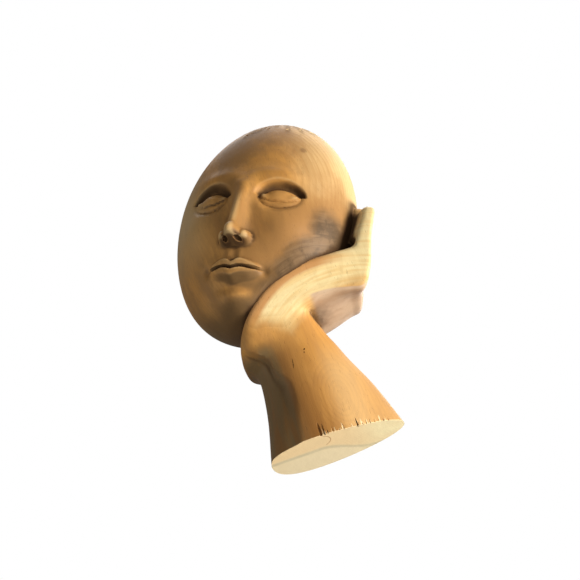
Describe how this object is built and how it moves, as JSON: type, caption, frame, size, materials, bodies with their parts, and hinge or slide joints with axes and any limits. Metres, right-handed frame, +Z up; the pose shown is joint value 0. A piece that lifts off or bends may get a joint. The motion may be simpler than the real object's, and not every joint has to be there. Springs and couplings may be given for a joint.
{
  "type": "carved face sculpture",
  "caption": "Smooth carved wooden sculpture of a calm face leaning in an open hand, whose forearm widens into a flat sawn foot.",
  "frame": {"origin": "middle of the flat sawn foot, on the surface it stands on", "axes": "+Z up, +X along the foot towards the side of the fingers, -Y out of the front that the face looks to"},
  "size_m": [0.1661, 0.1267, 0.292],
  "materials": {
    "wood": "satin, waxed, with growth rings, darker heartwood on one side and small drying checks"
  },
  "bodies": {
    "root": {"face_on_hand_carving": "wood"}
  },
  "joints": []
}
